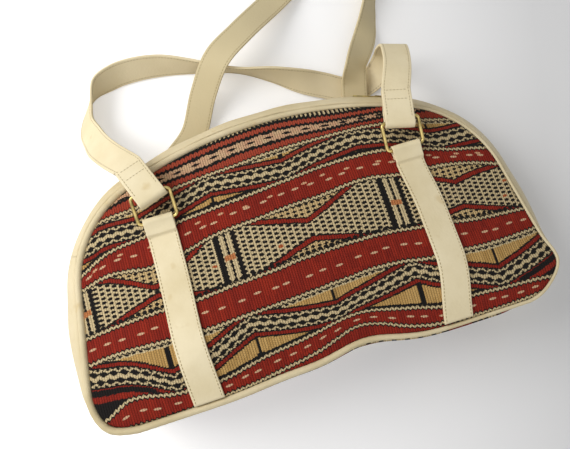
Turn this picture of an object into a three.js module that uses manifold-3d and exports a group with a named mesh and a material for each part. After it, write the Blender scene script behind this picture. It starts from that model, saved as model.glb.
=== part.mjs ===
// A dome-shaped handbag of flat-woven kilim and cream leather, with two ring-hung handles.
// It lies on its back on a table: X runs along its length, Y from its base to its zip, Z up.
// The front panel faces up, and both handles trail over the table past the zip.
import * as THREE from 'three';
import { mergeVertices } from 'three/addons/utils/BufferGeometryUtils.js';
import Module from 'manifold-3d';

// Driving dimensions, in millimetres and degrees
const baseHalfLength = 207; // half the panel's length where its side lines meet the base line
const panelHeight = 219;
const topRadius = 358;
const shoulderRadius = 94;
const sideLean = 8;
const cornerRadius = 36;
const frontRimAtBase = 86; // height of the front seam over the table, at the base and at the zip
const frontRimAtTop = 54;
const panelThickness = 3;
const leatherThickness = 2.4;
const baseThickness = 3.4;
const pipingRadius = 3;
const seamGap = 0.3;
const frontCrown = 18;
const crownPower = 2.2;
const sideBulgeShare = 0.28; // bulge of the side gussets as a share of the bag's depth there
const topBulge = 14;
const backHollow = 7; // rise of the back panel over the rings and straps that it lies on
const hollowStart = 90;
const hollowEnd = 125;
const seamHeight = 145; // where the side gussets meet the zip gussets
const baseProud = 0.4; // how far the stiff base stands out past the piping

const strapWidth = 25.4;
const strapThickness = 2.4;
const tabThickness = 2.2;
const tabSpacing = 219; // between the middle lines of a panel's two tabs
const ringBarHeight = 156; // up the panel, to the ring bar in the tab's loop
const ringLength = 24; // between the middles of a ring's two bars
const ringCorner = 3;
const wireRadius = 1.5;
const loopClearance = 0.3; // between a ring's wire and the leather around it
const sideClearance = 0.7; // between a strap's edge and the ring's side
const frontRingTilt = 14.5;
const strapSkew = 15; // how far each handle leg leans away from the ring's own line
const frontStrapPitch = 18; // how steeply the front handle leaves its rings
const tabFoldLength = 14; // length of the tab's end that is folded under behind its loop
const handleFoldLength = 30;
const pocketLength = 11; // past the bar, to where the handle's two layers lie close again

const zipHalfAngle = 19.5; // of the top arc that the zip covers, to each side
const zipSlotHalf = 5.5;
const zipPitch = 5;
const toothShare = 0.5; // width of a tooth as a share of the pitch
const toothReach = 1.8;
const toothHalfThickness = 1;
const chainGapHalf = 0.8; // half the gap between the two rows of teeth, where the slider runs
const tapeThickness = 1;
const tapeTuck = 4; // width of tape that lies under the leather
const sliderLength = 11;
const sliderWidth = 8.5;
const sliderPlate = 1.2;
const bridgeLength = 8;
const bridgeWidth = 2;
const bridgeBar = 1.1;
const bridgeOpening = 2.4; // height of the hole that the pull's end bar turns in
const webHalf = 0.35;
const pullHole = 3.5;
const pullLength = 24;
const pullWidth = 6.5;
const pullThickness = 1.2;
const stopLength = 3;

const arcStep = 9; // degrees of bend between two stations of a curved edge, at most
const stationStep = 24; // length of a curved edge between two stations, at most
const panelRings = 6;
const facetAllowance = 0.2; // how far a flat facet may cut inside the curve it stands for

const { degToRad, lerp, smoothstep } = THREE.MathUtils;
const vec = (x, y, z) => new THREE.Vector3(x, y, z);
const spaced = (from, to, steps) => Array.from({ length: steps + 1 }, (_, i) => lerp(from, to, i / steps));

const wasm = await Module();
wasm.setup();

// Materials
const finish = (color, roughness, metalness = 0) => new THREE.MeshStandardMaterial({ color, roughness, metalness });
const creamLeather = finish(0xe6d8b4, 0.62);
const pipingLeather = finish(0xddcfaa, 0.62);
const kilim = finish(0x8f2c20, 0.95);
const zipCloth = finish(0xcdbd92, 0.85);
const brass = finish(0x9c8a4c, 0.38, 1);

const bag = new THREE.Group();

function addMesh(name, geometry, material, parent = bag) {
  const mesh = new THREE.Mesh(geometry, material);
  mesh.name = name;
  parent.add(mesh);
  return mesh;
}

// Turns all faces outwards, from the sign of the volume that they enclose.
function outward(points, faces) {
  let volume = 0;
  for (let i = 0; i < faces.length; i += 3) {
    const [a, b, c] = [points[faces[i]], points[faces[i + 1]], points[faces[i + 2]]];
    volume += a.dot(b.clone().cross(c));
  }
  if (volume < 0) faces.reverse();
  const geometry = new THREE.BufferGeometry().setFromPoints(points);
  geometry.setIndex(faces);
  geometry.computeVertexNormals();
  return geometry;
}

// A closed body from rings of points, each with the same even number of points. Its ends are
// closed by ladders of quads, or it runs round and closes on itself.
function loft(rings, closed = false) {
  const count = rings[0].length;
  const faces = [];
  const quad = (a, b, c, d) => faces.push(a, b, c, a, c, d);
  const spans = closed ? rings.length : rings.length - 1;
  for (let i = 0; i < spans; i += 1) {
    const here = i * count;
    const next = ((i + 1) % rings.length) * count;
    for (let j = 0; j < count; j += 1) {
      const k = (j + 1) % count;
      quad(here + j, here + k, next + k, next + j);
    }
  }
  const last = (rings.length - 1) * count;
  for (let j = 0; !closed && j < count / 2 - 1; j += 1) {
    quad(count - 1 - j, count - 2 - j, j + 1, j);
    quad(last + j, last + j + 1, last + count - 2 - j, last + count - 1 - j);
  }
  return outward(rings.flat(), faces);
}

// A closed shell from rings that grow out of one pole and shrink into another.
function poledShell(firstPole, rings, lastPole) {
  const count = rings[0].length;
  const points = [...rings.flat(), firstPole, lastPole];
  const first = points.length - 2;
  const last = points.length - 1;
  const end = (rings.length - 1) * count;
  const faces = [];
  for (let j = 0; j < count; j += 1) {
    const k = (j + 1) % count;
    for (let here = 0; here < end; here += count) {
      const next = here + count;
      faces.push(here + j, here + k, next + k, here + j, next + k, next + j);
    }
    faces.push(first, k, j, last, end + j, end + k);
  }
  return outward(points, faces);
}

// Panel outline: a straight base, rounded corners, leaning sides, shoulders and a wide top arc,
// each tangent to the next. Angles run from the +Y side of a centre towards +X.
const lean = degToRad(sideLean);
const sideAngle = Math.PI / 2 - lean;
const topCentre = panelHeight - topRadius;
const corner = vec(baseHalfLength - Math.tan(lean) * cornerRadius - cornerRadius / Math.cos(lean), cornerRadius, 0);
const shoulder = (() => {
  const slope = Math.tan(lean);
  const foot = baseHalfLength - shoulderRadius / Math.cos(lean);
  const a = 1 + slope ** 2;
  const b = -2 * (foot * slope + topCentre);
  const c = foot ** 2 + topCentre ** 2 - (topRadius - shoulderRadius) ** 2;
  const y = (-b + Math.sqrt(b ** 2 - 4 * a * c)) / (2 * a);
  return vec(foot - slope * y, y, 0);
})();
const topAngle = Math.atan2(shoulder.x, shoulder.y - topCentre);
const seamAngle = Math.acos((seamHeight - shoulder.y) / shoulderRadius);
const zipAngle = degToRad(zipHalfAngle);

// A station is a point of the outline, the way out of the bag there, and how fully the gusset
// bulges there: from 0 on the base to 1 on the sides and 2 on the top.
function arcStation(centre, radius, angle, fullness) {
  const out = vec(Math.sin(angle), Math.cos(angle), 0);
  return { ...centre.clone().addScaledVector(out, radius), out, fullness, angle };
}

function arcStations(centre, radius, from, to, fullnessAt, mark = from) {
  const bend = Math.abs(to - from);
  const steps = Math.ceil(Math.max(bend / degToRad(arcStep), (bend * radius) / stationStep));
  const near = bend / steps / 3;
  const angles = spaced(from, to, steps).filter((angle) => Math.abs(mark - angle) > near || angle === mark);
  if (!angles.includes(mark)) angles.push(mark);
  angles.sort((p, q) => (to > from ? p - q : q - p));
  return angles.map((angle) => arcStation(centre, radius, angle, fullnessAt((angle - from) / (to - from))));
}

const topStation = (angle) => arcStation(vec(0, topCentre, 0), topRadius, angle, 2);
const rightHalf = (() => {
  const base = [0, 0.25, 0.5, 0.75].map((share) => (
    { x: share * corner.x, y: 0, out: vec(0, -1, 0), fullness: 0 }));
  const corners = arcStations(corner, cornerRadius, Math.PI, sideAngle, (t) => smoothstep(t, 0, 1));
  const shoulders = arcStations(shoulder, shoulderRadius, sideAngle, topAngle,
    (t) => 1 + smoothstep(t, 0, 1), seamAngle);
  const [low, high] = [corners.at(-1), shoulders[0]];
  const sides = [1 / 3, 2 / 3].map((share) => (
    { ...low, x: lerp(low.x, high.x, share), y: lerp(low.y, high.y, share) }));
  const top = arcStations(vec(0, topCentre, 0), topRadius, topAngle, 0, () => 2, zipAngle);
  return [...base, ...corners, ...sides, ...shoulders, ...top.slice(1)];
})();
const mirrored = (s) => ({ ...s, x: -s.x, out: vec(-s.out.x, s.out.y, 0) });
const outline = [...rightHalf, ...rightHalf.slice(1, -1).reverse().map(mirrored)];

// The front seam slopes down to the zip. The back seam lies on the table and rises at the zip,
// and it is set back so that the base stands square to the bag's middle plane.
const middleSlope = (frontRimAtBase - frontRimAtTop) / panelHeight / 2;
const frontRim = (y) => lerp(frontRimAtBase, frontRimAtTop, y / panelHeight);
const backRim = (y) => pipingRadius + backHollow * smoothstep(y, hollowStart, hollowEnd);
const setback = (y) => middleSlope * (frontRim(y) - backRim(y));
const frontEdge = (s) => vec(s.x, s.y, frontRim(s.y));
const backEdge = (s) => vec(s.x, s.y - setback(s.y), backRim(s.y));
const gussetDepth = (s) => frontEdge(s).distanceTo(backEdge(s));

function bulge(s) {
  const side = sideBulgeShare * gussetDepth(s);
  return s.fullness < 1 ? side * s.fullness : lerp(side, topBulge, s.fullness - 1);
}

// A point of the gusset at a share of the way from the front seam to the back one, and that
// point moved by a distance square to the gusset, outwards if positive.
function gussetPoint(s, share) {
  const point = frontEdge(s).lerp(backEdge(s), share);
  return point.addScaledVector(s.out, bulge(s) * 4 * share * (1 - share));
}

function offGusset(s, share, distance) {
  const step = 0.01;
  const across = gussetPoint(s, share + step).sub(gussetPoint(s, share - step));
  const normal = across.cross(vec(-s.out.y, s.out.x, 0)).normalize();
  const side = Math.sign(normal.dot(s.out));
  return gussetPoint(s, share).addScaledVector(normal, side * distance);
}

// One cross-section of a wall between two shares of the depth, its outer side first.
function wallSection(s, from, to, outer, inner, steps) {
  const shares = spaced(from, to, steps);
  return [
    ...shares.map((share) => offGusset(s, share, outer)),
    ...shares.reverse().map((share) => offGusset(s, share, inner)),
  ];
}

// Shifts both ends of a run of stations inwards, to leave half the seam gap at each.
function trimmed(stations) {
  const nudge = (end, next) => {
    const along = vec(next.x - end.x, next.y - end.y, 0).setLength(seamGap / 2);
    return { ...end, x: end.x + along.x, y: end.y + along.y };
  };
  return [nudge(stations[0], stations[1]), ...stations.slice(1, -1), nudge(stations.at(-1), stations.at(-2))];
}

const seamShare = (s) => (pipingRadius + seamGap) / gussetDepth(s);
const run = (test) => rightHalf.filter(test);

// Side gussets, from the base round a corner and up to the zip gussets
const isTop = (s) => s.y >= seamHeight - 1e-6;
const firstCorner = rightHalf.findIndex((s) => s.angle !== undefined);
const sideRun = trimmed(rightHalf.slice(firstCorner, rightHalf.findIndex(isTop) + 1));
const sideGusset = (stations) => loft(stations.map((s) => (
  wallSection(s, seamShare(s), 1 - seamShare(s), leatherThickness / 2, -leatherThickness / 2, 5))));
addMesh('side_gusset_right', sideGusset(sideRun), creamLeather);
addMesh('side_gusset_left', sideGusset(sideRun.map(mirrored)), creamLeather);

// Base panel, a stiff flat board covered in kilim
const baseEnd = trimmed([rightHalf[0], rightHalf[firstCorner]])[1];
const baseSection = (s) => wallSection(s, seamShare(s), 1 - seamShare(s),
  pipingRadius + baseProud, pipingRadius + baseProud - baseThickness, 1);
addMesh('base_panel', loft([mirrored({ ...baseEnd, fullness: 0 }), { ...baseEnd, fullness: 0 }].map(baseSection)), kilim);

// Zip gussets, one on each side of the zip, which close up to a butt seam past its ends
const rightTop = run(isTop);
const topRun = trimmed([...rightTop, ...rightTop.slice(0, -1).reverse().map(mirrored)]);
const slotShare = (s) => {
  const inZip = s.fullness === 2 && Math.abs(s.angle) <= zipAngle + 1e-6;
  return (inZip ? zipSlotHalf : seamGap / 2) / gussetDepth(s);
};
for (const [name, side] of [['zip_gusset_front', 1], ['zip_gusset_back', -1]]) {
  const section = (s) => {
    const [seam, slot] = [0.5 - side * (0.5 - seamShare(s)), 0.5 - side * slotShare(s)];
    return wallSection(s, seam, slot, leatherThickness / 2, -leatherThickness / 2, 3);
  };
  addMesh(name, loft(topRun.map(section)), creamLeather);
}

// Zip. Each frame on its middle line has X along it, Y towards the back and Z outwards.
const tapeMiddle = -(leatherThickness / 2 + seamGap + facetAllowance + tapeThickness / 2);
const tapeEdge = chainGapHalf + toothReach;
const zipRadius = topRadius + topBulge;
const alongZip = (length) => length / zipRadius;
const toothEnd = zipAngle - alongZip(stopLength + 1);
function zipFrame(angle) {
  const s = topStation(angle);
  const middle = gussetPoint(s, 0.5);
  const out = offGusset(s, 0.5, 1).sub(middle);
  const along = vec(Math.cos(angle), -Math.sin(angle), 0);
  return new THREE.Matrix4().makeBasis(along, out.clone().cross(along), out).setPosition(middle);
}

function solid(geometry) {
  const plain = mergeVertices(geometry.deleteAttribute('normal').deleteAttribute('uv'));
  const vertProperties = new Float32Array(plain.attributes.position.array);
  const triVerts = new Uint32Array(plain.index.array);
  return new wasm.Manifold(new wasm.Mesh({ numProp: 3, vertProperties, triVerts }));
}

function joined(solids) {
  const { vertProperties, triVerts } = wasm.Manifold.union(solids).getMesh();
  const geometry = new THREE.BufferGeometry();
  geometry.setAttribute('position', new THREE.BufferAttribute(vertProperties, 3));
  geometry.setIndex(new THREE.BufferAttribute(triVerts, 1));
  geometry.computeVertexNormals();
  return geometry;
}

// A box between two corners [x, y, z], placed by a matrix.
function block(low, high, matrix = new THREE.Matrix4()) {
  const [from, to] = [vec(...low), vec(...high)];
  const size = to.clone().sub(from);
  const box = new THREE.BoxGeometry(size.x, size.y, size.z);
  box.translate(...from.add(to).multiplyScalar(0.5).toArray());
  return solid(box.applyMatrix4(matrix));
}

const tapeRun = trimmed(topRun.filter((s) => s.fullness === 2));
const teeth = Math.floor((2 * toothEnd) / alongZip(zipPitch));
for (const [name, side] of [['zip_tape_front', 1], ['zip_tape_back', -1]]) {
  const share = (s, distance) => 0.5 - (side * distance) / gussetDepth(s);
  const [top, bottom] = [tapeMiddle + tapeThickness / 2, tapeMiddle - tapeThickness / 2];
  const tape = loft(tapeRun.map((s) => (
    wallSection(s, share(s, zipSlotHalf + tapeTuck), share(s, tapeEdge), top, bottom, 1))));
  const half = (zipPitch * toothShare) / 2;
  const across = [-side * chainGapHalf, -side * (tapeEdge + 1)].sort((p, q) => p - q);
  const angles = spaced(-toothEnd, toothEnd, teeth * 4).filter((_, i) => i % 4 === 2 + side);
  const row = angles.map((angle) => block(
    [-half, across[0], tapeMiddle - toothHalfThickness],
    [half, across[1], tapeMiddle + toothHalfThickness],
    zipFrame(angle)));
  const cloth = solid(tape.setAttribute('uv', tape.attributes.normal));
  addMesh(name, joined([cloth, ...row]), zipCloth);
}

// Slider: two plates over and under the teeth, a web between the rows and a bridge for the pull
const sliderGap = toothHalfThickness + seamGap + facetAllowance;
const sliderFall = topBulge * (sliderWidth / gussetDepth(topStation(0))) ** 2; // of the tape, under its edge
const upperPlate = tapeMiddle + sliderGap;
const lowerPlate = tapeMiddle - sliderGap - sliderFall;
const sliderFace = upperPlate + sliderPlate;
const bridgeTop = sliderFace + bridgeOpening + bridgeBar;
const sliderAngle = toothEnd - alongZip(sliderLength / 2);
const place = (mesh, angle) => mesh.applyMatrix4(zipFrame(angle));
const [halfLength, halfSlider, halfBridge] = [sliderLength / 2, sliderWidth / 2, bridgeLength / 2];
const sliderParts = [
  block([-halfLength, -halfSlider, upperPlate], [halfLength, halfSlider, sliderFace]),
  block([-halfLength, -halfSlider, lowerPlate - sliderPlate], [halfLength, halfSlider, lowerPlate]),
  block([-halfLength / 2, -webHalf, lowerPlate - sliderPlate], [halfLength / 2, webHalf, sliderFace]),
  block([-halfBridge, -bridgeWidth / 2, bridgeTop - bridgeBar], [halfBridge, bridgeWidth / 2, bridgeTop]),
  block([-halfBridge, -bridgeWidth / 2, upperPlate], [bridgeBar - halfBridge, bridgeWidth / 2, bridgeTop]),
  block([halfBridge - bridgeBar, -bridgeWidth / 2, upperPlate], [halfBridge, bridgeWidth / 2, bridgeTop]),
];
place(addMesh('zip_slider', joined(sliderParts), brass), sliderAngle);

// Pull: a plate with a hole, through which the bridge passes, lying back along the zip
const pullAxis = sliderFace + bridgeOpening / 2;
const pullBar = 1.5;
const pullStart = -bridgeOpening / 2 - 0.3;
const [pullLow, pullHigh] = [pullAxis - pullThickness / 2, pullAxis + pullThickness / 2];
const holeHalf = bridgeWidth / 2 + 0.75;
const holeEnd = pullStart - pullBar / 2 - pullHole;
const pullParts = [
  block([pullStart - pullBar / 2, -pullWidth / 2, pullLow], [pullStart + pullBar / 2, pullWidth / 2, pullHigh]),
  block([holeEnd - 1, -pullWidth / 2, pullLow], [pullStart, -holeHalf, pullHigh]),
  block([holeEnd - 1, holeHalf, pullLow], [pullStart, pullWidth / 2, pullHigh]),
  block([pullStart - pullLength, -pullWidth / 2, pullLow], [holeEnd, pullWidth / 2, pullHigh]),
];
place(addMesh('zip_pull', joined(pullParts), brass), sliderAngle);

// Stops: a closed clip across both tapes at one end, and a clip on each tape at the other
const stopTop = tapeMiddle + tapeThickness / 2 + seamGap;
const stopPlate = 0.8;
const stopReach = tapeEdge + 2;
const tapeFall = topBulge * (2 * stopReach / gussetDepth(topStation(zipAngle))) ** 2;
const stopBottom = tapeMiddle - tapeThickness / 2 - seamGap - facetAllowance - tapeFall;
const webReach = tapeEdge - 3 * seamGap; // clear of the tape's lower corner, which leans in
const clip = (from, to, webFrom, webTo, angle) => {
  const half = stopLength / 2;
  const [low, high] = [stopBottom - stopPlate, stopTop + stopPlate];
  return joined([
    block([-half, from, stopTop], [half, to, high], zipFrame(angle)),
    block([-half, from, low], [half, to, stopBottom], zipFrame(angle)),
    block([-half, webFrom, low], [half, webTo, high], zipFrame(angle)),
  ]);
};
const stopAngle = zipAngle - alongZip(stopLength / 2);
addMesh('zip_end_stop', clip(-stopReach, stopReach, -webReach, webReach, stopAngle), brass);
addMesh('zip_top_stop_front', clip(-stopReach, -1, -webReach, -1, -stopAngle), brass);
addMesh('zip_top_stop_back', clip(1, stopReach, 1, webReach, -stopAngle), brass);

// Piping round each panel
const pipingSides = 8;
const piping = (edge) => loft(outline.map((s) => spaced(0, 2 * Math.PI, pipingSides).slice(1).map((angle) => (
  edge(s).addScaledVector(s.out, pipingRadius * Math.cos(angle)).add(vec(0, 0, pipingRadius * Math.sin(angle)))
))), true);
addMesh('front_piping', piping(frontEdge), pipingLeather);
addMesh('back_piping', piping(backEdge), pipingLeather);

// Panels: shells whose outer face runs from the middle to the edge, inside the piping
const panelInset = pipingRadius + seamGap;
const panelMiddle = vec(0, panelHeight * 0.48, 0);
const panelEdge = outline.map((s) => vec(s.x, s.y, 0).addScaledVector(s.out, -panelInset));

// How far out a point lies, as a share of the way from the panel's middle to its edge.
function outwardShare(x, y) {
  const ray = vec(x, y, 0).sub(panelMiddle);
  const cross = (p, q) => p.x * q.y - p.y * q.x;
  const hits = panelEdge.map((end, i) => {
    const start = panelEdge.at(i - 1);
    const side = end.clone().sub(start);
    const base = start.clone().sub(panelMiddle);
    const along = cross(base, ray) / cross(ray, side);
    const reach = cross(base, side) / cross(ray, side);
    return along >= 0 && along <= 1 && reach > 0 ? 1 / reach : 0;
  });
  return Math.max(...hits);
}

const crownAt = (share) => frontCrown * (1 - share ** crownPower);
const frontFace = (x, y) => frontRim(y) + panelThickness / 2 + crownAt(Math.min(1, outwardShare(x, y)));
const backFace = (y) => backRim(y) - 0.1;

function panel(pointAt) {
  const shares = spaced(0, 1, panelRings).slice(1);
  const ring = (share, layer) => panelEdge.map((edge) => {
    const at = panelMiddle.clone().lerp(edge, share);
    return pointAt(at.x, at.y, share, layer);
  });
  const rings = [...shares.map((share) => ring(share, 0)), ...shares.reverse().map((share) => ring(share, 1))];
  const pole = (layer) => pointAt(panelMiddle.x, panelMiddle.y, 0, layer);
  return poledShell(pole(0), rings, pole(1));
}

addMesh('front_panel', panel((x, y, share, layer) => (
  vec(x, y, frontRim(y) + panelThickness * (0.5 - layer) + crownAt(share)))), kilim);
addMesh('back_panel', panel((x, y, share, layer) => (
  vec(x, y - setback(y), backFace(y) + panelThickness * layer))), kilim);

// Rings: rounded rectangles of wire, each lying from its tab's loop to its handle's end
const pocketRadius = wireRadius + loopClearance + strapThickness / 2;
const skew = degToRad(strapSkew);
const foldReach = (strapWidth / 2) * Math.tan(skew) + pocketRadius + strapThickness / 2;
const ringHalfWidth = (strapWidth / 2) * Math.cos(skew) + foldReach * Math.sin(skew) + sideClearance + wireRadius;
const wireSides = 8;
function ringGeometry() {
  const reach = ringHalfWidth - ringCorner;
  const centres = [[reach, ringLength - ringCorner], [-reach, ringLength - ringCorner], [-reach, ringCorner], [reach, ringCorner]];
  const sections = centres.flatMap(([x, y], quarter) => spaced(0, Math.PI / 2, 4).map((turn) => {
    const angle = turn + (quarter * Math.PI) / 2;
    const out = vec(Math.cos(angle), Math.sin(angle), 0);
    const middle = vec(x, y, 0).addScaledVector(out, ringCorner);
    return spaced(0, 2 * Math.PI, wireSides).slice(1).map((round) => middle.clone()
      .addScaledVector(out, wireRadius * Math.cos(round)).add(vec(0, 0, wireRadius * Math.sin(round))));
  }));
  return loft(sections, true);
}

const tabX = tabSpacing / 2;
const loopLead = 0.45; // how far past straight up the loop's upper layer starts to close, in radians
const loopClosing = 9; // from the bar to where a tab's two layers lie close again
const tabLift = seamGap + facetAllowance / 2;
const loopRadius = wireRadius + loopClearance + tabThickness / 2;
const innerEdge = tabX - strapWidth / 2;
const frontBar = frontFace(innerEdge, ringBarHeight) + tabLift + tabThickness / 2 + loopRadius;
const backBar = seamGap + tabThickness / 2 + loopRadius;
const frontTilt = degToRad(frontRingTilt);
const farBar = {
  front: vec(0, ringBarHeight + ringLength * Math.cos(frontTilt), frontBar + ringLength * Math.sin(frontTilt)),
  back: vec(0, ringBarHeight + ringLength, backBar),
};
for (const [side, sign] of [['left', -1], ['right', 1]]) {
  const front = addMesh(`front_ring_${side}`, ringGeometry(), brass);
  front.position.set(sign * tabX, ringBarHeight, frontBar);
  front.rotation.x = frontTilt;
  const back = addMesh(`back_ring_${side}`, ringGeometry(), brass);
  back.position.set(sign * tabX, ringBarHeight, backBar);
}

// A flat band with square edges, from stations that give its middle, width way and thickness way.
function band(stations, thickness) {
  const halfWidth = strapWidth / 2;
  return loft(stations.map(({ at, wide, thick }) => [[-1, -1], [1, -1], [1, 1], [-1, 1]].map(([w, t]) => (
    at.clone().addScaledVector(wide, w * halfWidth).addScaledVector(thick, (t * thickness) / 2)))));
}

// Tabs: straps sewn up each panel, looped round a ring's bar and folded back under themselves.
// Each layer is a run of [y, height] points, and follows the slope of the panel across its width.
function frontTab(sign) {
  const halfWidth = strapWidth / 2;
  const foot = panelInset + seamGap;
  const foldEnd = ringBarHeight - tabFoldLength;
  const level = (y) => smoothstep(y, foldEnd - 6, ringBarHeight - loopRadius);
  const under = (x, y) => lerp(frontFace(x, y), frontFace(innerEdge, y), level(y)) + tabLift + tabThickness / 2;
  const layer = tabThickness + seamGap;
  // One cross-section, its outer side first, from the middle points of the layer there
  const xs = spaced(tabX - halfWidth, tabX + halfWidth, 3);
  const skin = (middles, normal) => [
    ...middles.map((middle) => middle.clone().addScaledVector(normal, tabThickness / 2)),
    ...middles.toReversed().map((middle) => middle.clone().addScaledVector(normal, -tabThickness / 2)),
  ];
  const section = (y, rise, normal) => skin(xs.map((x) => vec(sign * x, y, under(x, y) + rise)), normal);
  const up = vec(0, 0, 1);
  const last = ringBarHeight - loopRadius - tabThickness / 2;
  const upper = spaced(foot, foldEnd - 8, 14).map((y) => section(y, 0, up));
  const raised = [foldEnd, ringBarHeight - loopClosing].map((y) => section(y, layer, up));
  const lower = [last, foldEnd + 5, foldEnd + 1].map((y) => section(y, 0, up.clone().negate()));
  const loop = spaced(-loopLead, Math.PI, 8).map((turn) => {
    const normal = vec(0, Math.sin(turn), Math.cos(turn));
    return skin(xs.map((x) => vec(sign * x, ringBarHeight, frontBar).addScaledVector(normal, loopRadius)), normal);
  });
  return loft([...upper, ...raised, ...loop, ...lower]);
}

function backTab(sign) {
  const foot = -setback(0) + panelInset + seamGap;
  const height = seamGap + tabThickness / 2;
  const down = vec(0, 0, -1);
  const wide = vec(1, 0, 0);
  const layer = tabThickness + seamGap;
  const last = ringBarHeight - loopRadius - tabThickness / 2;
  const loop = spaced(0, Math.PI + loopLead, 8).map((turn) => {
    const thick = vec(0, Math.sin(turn), -Math.cos(turn));
    return { at: vec(sign * tabX, ringBarHeight, backBar).addScaledVector(thick, loopRadius), wide, thick };
  });
  const flat = [foot, last].map((y) => ({ at: vec(sign * tabX, y, height), wide, thick: down }));
  const tail = [ringBarHeight - loopClosing, ringBarHeight - tabFoldLength].map((y) => (
    { at: vec(sign * tabX, y, height + layer), wide, thick: vec(0, 0, 1) }));
  return band([...flat, ...loop, ...tail], tabThickness);
}

for (const [side, sign] of [['left', -1], ['right', 1]]) {
  addMesh(`front_tab_${side}`, frontTab(sign), creamLeather);
  addMesh(`back_tab_${side}`, backTab(sign), creamLeather);
}

// Handles. Each end is a pocket round a ring's far bar, made by folding the strap's end under.
// A route point gives the strap's middle [x, y, height of its lower edge] and its width way.
const frontRoute = [
  [-131, 221, 65, [0.9, 0.4, 0]],
  [-143, 236, 48, [0.85, 0.45, 0.15]],
  [-152, 252, 27, [0.8, 0.45, 0.35]],
  [-157, 269, 11, [0.7, 0.5, 0.5]],
  [-152, 287, 3, [0.62, 0.5, 0.6]],
  [-139, 304, 1, [0.5, 0.58, 0.64]],
  [-120, 312, 0.6, [0.33, 0.62, 0.7]],
  [-98, 313, 0.6, [0.15, 0.62, 0.77]],
  [-72, 309, 0.6, [0, 0.5, 0.86]],
  [-45, 300, 0.6, [-0.05, 0.2, 0.97]],
  [-20, 290.5, 0.6, [-0.07, -0.1, 0.98]],
  [2, 282, 0.6, [-0.08, -0.1, 0.98]],
  [28, 271, 0.6, [-0.05, 0.3, 0.95]],
  [54, 258, 0.6, [0, 0.75, 0.66]],
  [75, 249, 0.6, [0.1, 0.95, 0.28]],
  [95, 240, 0.8, [0.15, 0.98, 0.06]],
  [113, 239, 0.8, [0, 0.99, 0.05]],
  [128, 244, 5, [-0.3, 0.95, 0]],
  [137, 252, 20, [-0.7, 0.7, 0]],
  [137, 255, 38, [-0.92, 0.38, 0]],
  [137, 254, 52, [-0.96, 0.28, 0]],
  [134, 246, 62, [-0.95, 0.3, 0]],
  [128, 230, 71, [-0.95, 0.28, 0.05]],
];
const backRoute = [
  [-83, 222, 0.2, [0.85, -0.5, 0]],
  [-63.5, 238, 2, [0.87, -0.49, 0]],
  [-43, 270, 15, [0.87, -0.48, 0.05]],
  [-21.5, 294, 31, [0.78, -0.6, 0.05]],
  [8, 314, 27, [0.6, -0.78, 0.15]],
  [50, 343, 10, [0.5, -0.85, 0.1]],
  [84, 366, 1.5, [0.42, -0.9, 0.1]],
  [115, 384, 0.3, [0.35, -0.9, 0.3]],
  [143, 391, 0.3, [-0.05, -0.75, 0.65]],
  [162, 383, 0.3, [-0.5, -0.45, 0.74]],
  [167, 365, 0.3, [-0.6, -0.2, 0.78]],
  [160, 346, 0.3, [-0.55, -0.1, 0.83]],
  [147, 323, 0.3, [-0.6, -0.05, 0.8]],
  [138, 303, 2, [-0.75, 0.1, 0.65]],
  [128, 283, 5, [-0.88, 0.3, 0.36]],
  [108.5, 256, 11, [-0.8, 0.3, 0.5]],
  [103.5, 239, 8, [-0.94, 0.33, 0]],
  [101, 223, 4, [-0.95, 0.3, 0]],
];

// The strap's end at a ring: its folded tail, the pocket and the leg up to the fold's length.
function pocketEnd(bar, across, onward, outside) {
  const layer = strapThickness + seamGap;
  const foldAt = (-strapWidth / 2) * Math.tan(skew);
  const main = pocketRadius;
  const place = (along, height) => bar.clone().addScaledVector(onward, along).addScaledVector(outside, height);
  const flat = (along, height, sign) => ({ at: place(along, height), wide: across, thick: outside.clone().multiplyScalar(sign) });
  const tail = [flat(handleFoldLength, main - layer, -1), flat(pocketLength, main - layer, -1),
    flat(-foldAt + wireRadius, -main, -1)];
  const fold = spaced(0, Math.PI, 6).map((turn) => {
    const thick = outside.clone().multiplyScalar(-Math.cos(turn)).addScaledVector(onward, -Math.sin(turn));
    return { at: place(foldAt, 0).addScaledVector(thick, main), wide: across, thick };
  });
  return [...tail, ...fold, flat(handleFoldLength / 2, main, 1), flat(handleFoldLength, main, 1)];
}

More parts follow.
